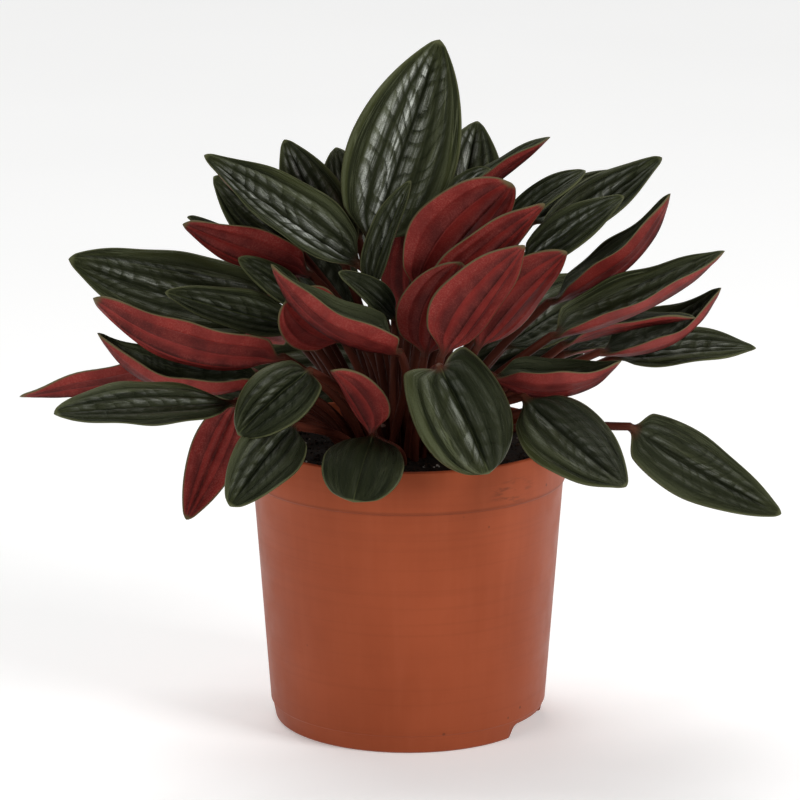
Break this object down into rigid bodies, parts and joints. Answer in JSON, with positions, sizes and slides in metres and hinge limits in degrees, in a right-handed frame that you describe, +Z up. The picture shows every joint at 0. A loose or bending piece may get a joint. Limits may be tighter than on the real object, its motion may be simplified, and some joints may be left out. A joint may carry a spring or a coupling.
{
  "type": "potted peperomia",
  "caption": "Bushy houseplant with lance-shaped, grooved leaves, dark green above and red beneath, in a plain flared plastic nursery pot full of peat.",
  "frame": {"origin": "on the pot's axis, in the plane that its foot stands on", "axes": "+X to the right in the picture, +Y away from the viewer, +Z up the pot's axis"},
  "size_m": [0.2865, 0.198, 0.258],
  "materials": {
    "leaf": "satin, dark silvery green above, deep red beneath, pale green margin",
    "crown": "matt, fleshy reddish brown",
    "soil": "matt, damp crumbly peat",
    "pot": "satin terracotta-coloured plastic"
  },
  "bodies": {
    "root": {"top_leaf_1": "leaf", "top_leaf_2": "leaf", "top_leaf_3": "leaf", "top_leaf_4": "leaf", "top_leaf_5": "leaf", "top_leaf_6": "leaf", "top_leaf_7": "leaf", "top_leaf_8": "leaf", "centre_leaf_1": "leaf", "centre_leaf_2": "leaf", "centre_leaf_3": "leaf", "centre_leaf_4": "leaf", "centre_leaf_5": "leaf", "right_leaf_1": "leaf", "right_leaf_2": "leaf", "right_leaf_3": "leaf", "right_leaf_4": "leaf", "right_leaf_5": "leaf", "right_leaf_6": "leaf", "right_leaf_7": "leaf", "right_leaf_8": "leaf", "right_leaf_9": "leaf", "front_leaf_1": "leaf", "front_leaf_2": "leaf", "front_leaf_3": "leaf", "front_leaf_4": "leaf", "front_leaf_5": "leaf", "front_leaf_6": "leaf", "front_leaf_7": "leaf", "front_leaf_8": "leaf", "front_leaf_9": "leaf", "left_leaf_1": "leaf", "left_leaf_2": "leaf", "left_leaf_3": "leaf", "left_leaf_4": "leaf", "left_leaf_5": "leaf", "left_leaf_6": "leaf", "left_leaf_7": "leaf", "left_leaf_8": "leaf", "left_leaf_9": "leaf", "left_leaf_10": "leaf", "middle_leaf_1": "leaf", "middle_leaf_2": "leaf", "middle_leaf_3": "leaf", "middle_leaf_4": "leaf", "rear_leaf_1": "leaf", "rear_leaf_2": "leaf", "rear_leaf_3": "leaf", "rear_leaf_4": "leaf", "rear_leaf_5": "leaf", "rear_leaf_6": "leaf", "rear_leaf_7": "leaf", "rear_leaf_8": "leaf", "rear_leaf_9": "leaf", "rear_leaf_10": "leaf", "rear_leaf_11": "leaf", "crown_stem_1": "crown", "crown_stem_2": "crown", "soil": "soil", "pot": "pot"}
  },
  "joints": []
}
